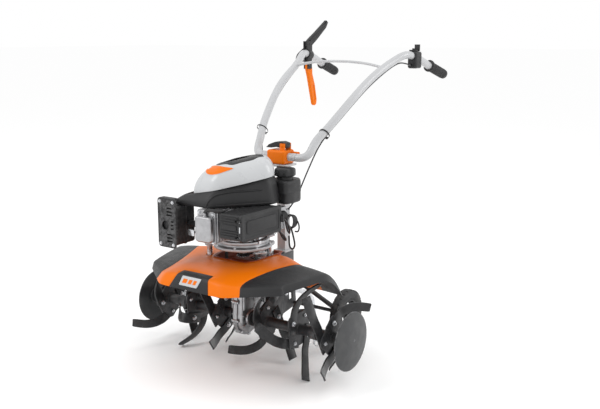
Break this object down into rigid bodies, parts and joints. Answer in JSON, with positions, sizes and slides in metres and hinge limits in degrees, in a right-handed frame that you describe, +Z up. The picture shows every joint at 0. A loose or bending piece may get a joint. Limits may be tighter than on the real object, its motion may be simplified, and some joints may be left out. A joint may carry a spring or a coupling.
{
  "type": "walk-behind tiller",
  "caption": "Petrol walk-behind tiller with bladed rotor under a hood, upright engine, tilting handlebar with drive levers, transport wheels and drag spur.",
  "frame": {"origin": "centre of the bounding box's base, on the ground the tines and the drag spur stand on", "axes": "+X to the machine's left along the rotor axle, -Y to its front, +Y to the handles, +Z up"},
  "size_m": [0.86, 1.2282, 1.1595],
  "materials": {
    "handle_paint": "satin light grey powder coat",
    "frame_paint": "satin black powder coat",
    "tine_paint": "satin black paint, worn at the edges",
    "disc_paint": "satin dark grey paint",
    "bright_steel": "zinc plated",
    "cast_aluminium": "as cast, lightly blasted",
    "orange_plastic": "smooth moulded",
    "tray_plastic": "moulded recess",
    "black_plastic": "fine grain moulded",
    "white_plastic": "smooth moulded",
    "grip_rubber": "ribbed",
    "tyre_rubber": "treaded",
    "belt_rubber": "cloth backed",
    "cable_sheath": "smooth sheath",
    "galvanised": "hot dip galvanised",
    "muffler_steel": "heat resistant black"
  },
  "bodies": {
    "chassis": {"gearbox_half_left": "cast_aluminium", "gearbox_half_right": "cast_aluminium", "axle_seals": "grip_rubber", "chassis_frame": "frame_paint", "engine_standoffs": "bright_steel", "chassis_screws": "bright_steel", "hood_centre": "orange_plastic", "fender_left": "black_plastic", "fender_right": "black_plastic", "front_panel": "black_plastic", "belt_tray": "tray_plastic", "crankcase": "cast_aluminium", "cylinder": "cast_aluminium", "rocker_cover": "cast_aluminium", "blower_housing": "black_plastic", "top_cover": "white_plastic", "intake_grille": "black_plastic", "muffler": "muffler_steel", "muffler_guard": "muffler_steel", "air_cleaner_box": "black_plastic", "carburettor": "cast_aluminium", "fuel_tank": "black_plastic", "handle_column": "handle_paint", "clamp_body": "orange_plastic", "drive_belt": "belt_rubber"},
    "rotor": {"output_shaft": "bright_steel", "inner_rotor_left": "tine_paint", "inner_rotor_right": "tine_paint", "outer_rotor_left": "tine_paint", "outer_rotor_right": "tine_paint", "tines_left": "tine_paint", "tines_right": "tine_paint", "rotor_fasteners": "bright_steel", "plant_disc_left": "disc_paint", "plant_disc_right": "disc_paint"},
    "worm": {"worm_shaft": "bright_steel"},
    "engine_crank": {"crankshaft": "bright_steel", "flywheel": "cast_aluminium"},
    "forward_idler": {"idler_forward": "galvanised"},
    "reverse_idler": {"idler_reverse": "galvanised"},
    "handle": {"handlebar": "handle_paint", "grips": "grip_rubber", "control_mounts": "black_plastic", "drive_cables": "cable_sheath", "throttle_cable": "cable_sheath"},
    "clamp_cam": {"clamp_lever": "black_plastic"},
    "forward_control": {"forward_lever": "black_plastic"},
    "reverse_control": {"reverse_lever": "orange_plastic"},
    "throttle_control": {"throttle_lever": "black_plastic"},
    "tank_cap": {"fuel_cap": "black_plastic"},
    "oil_dipstick": {"dipstick": "black_plastic"},
    "recoil_grip": {"starter_grip": "black_plastic"},
    "air_cleaner_lid": {"air_cleaner_cover": "black_plastic"},
    "undercarriage": {"wheel_frame": "frame_paint"},
    "wheel_left": {"wheel_rim_left": "black_plastic", "tyre_left": "tyre_rubber"},
    "wheel_right": {"wheel_rim_right": "black_plastic", "tyre_right": "tyre_rubber"},
    "spur": {"drag_spur": "galvanised"}
  },
  "joints": [
    {"name": "rotor_spin", "type": "hinge", "parent": "chassis", "child": "rotor", "pos_m": [0, -0.33317, 0.16], "axis": [1, 0, 0], "continuous": true},
    {"name": "worm_spin", "type": "hinge", "parent": "chassis", "child": "worm", "pos_m": [0, -0.27717, 0.2], "axis": [0, 0, 1], "continuous": true},
    {"name": "crank_spin", "type": "hinge", "parent": "chassis", "child": "engine_crank", "pos_m": [0, -0.34517, 0.42], "axis": [0, 0, 1], "continuous": true},
    {"name": "forward_idler_swing", "type": "hinge", "parent": "chassis", "child": "forward_idler", "pos_m": [0.064, -0.35517, 0.396], "axis": [0, 0, 1], "range_deg": [0, 8]},
    {"name": "reverse_idler_swing", "type": "hinge", "parent": "chassis", "child": "reverse_idler", "pos_m": [-0.064, -0.35517, 0.396], "axis": [0, 0, 1], "range_deg": [-8, 0]},
    {"name": "handlebar_tilt", "type": "hinge", "parent": "chassis", "child": "handle", "pos_m": [0, -0.13317, 0.688], "axis": [1, 0, 0], "range_deg": [-12, 12], "deforming": ["drive_cables", "throttle_cable"]},
    {"name": "clamp_cam_lift", "type": "hinge", "parent": "chassis", "child": "clamp_cam", "pos_m": [0.022, -0.13317, 0.727], "axis": [0, 1, 0], "range_deg": [0, 95]},
    {"name": "forward_lever_squeeze", "type": "hinge", "parent": "handle", "child": "forward_control", "pos_m": [-0.2365, 0.37583, 1.064], "axis": [1, 0, 0], "range_deg": [-35, 0], "stiffness_Nm_per_rad": 0.5, "springref_deg": 17.19},
    {"name": "reverse_lever_squeeze", "type": "hinge", "parent": "handle", "child": "reverse_control", "pos_m": [-0.2365, 0.37583, 0.98], "axis": [1, 0, 0], "range_deg": [0, 35], "stiffness_Nm_per_rad": 0.5, "springref_deg": -17.19},
    {"name": "throttle_turn", "type": "hinge", "parent": "handle", "child": "throttle_control", "pos_m": [0.232, 0.39483, 1.043], "axis": [0, 0, 1], "range_deg": [-30, 45]},
    {"name": "fuel_cap_turn", "type": "hinge", "parent": "chassis", "child": "tank_cap", "pos_m": [0.102, -0.24517, 0.65], "axis": [0, 0, 1], "range_deg": [0, 120]},
    {"name": "dipstick_turn", "type": "hinge", "parent": "chassis", "child": "oil_dipstick", "pos_m": [-0.074, -0.29317, 0.54], "axis": [0, 0, 1], "range_deg": [0, 120]},
    {"name": "starter_pull", "type": "slide", "parent": "chassis", "child": "recoil_grip", "axis": [0, 1, 0], "range_m": [0, 0.3], "stiffness_N_per_m": 30, "springref_m": -0.05},
    {"name": "air_cleaner_open", "type": "hinge", "parent": "chassis", "child": "air_cleaner_lid", "pos_m": [0.146, -0.54017, 0.52], "axis": [0, 0, -1], "range_deg": [0, 100]},
    {"name": "wheel_frame_swing", "type": "hinge", "parent": "chassis", "child": "undercarriage", "pos_m": [0, -0.18317, 0.127], "axis": [1, 0, 0], "range_deg": [-30, 0]},
    {"name": "wheel_left_spin", "type": "hinge", "parent": "undercarriage", "child": "wheel_left", "pos_m": [0.24, -0.07517, 0.144], "axis": [1, 0, 0], "continuous": true},
    {"name": "wheel_right_spin", "type": "hinge", "parent": "undercarriage", "child": "wheel_right", "pos_m": [-0.24, -0.07517, 0.144], "axis": [1, 0, 0], "continuous": true},
    {"name": "spur_depth", "type": "hinge", "parent": "chassis", "child": "spur", "pos_m": [0, -0.14817, 0.2], "axis": [1, 0, 0], "range_deg": [-12, 0]}
  ],
  "couplings": [
    {"joint": "worm_spin", "follows": "rotor_spin", "ratio": 24},
    {"joint": "forward_idler_swing", "follows": "forward_lever_squeeze", "ratio": -0.2},
    {"joint": "reverse_idler_swing", "follows": "reverse_lever_squeeze", "ratio": -0.2}
  ]
}
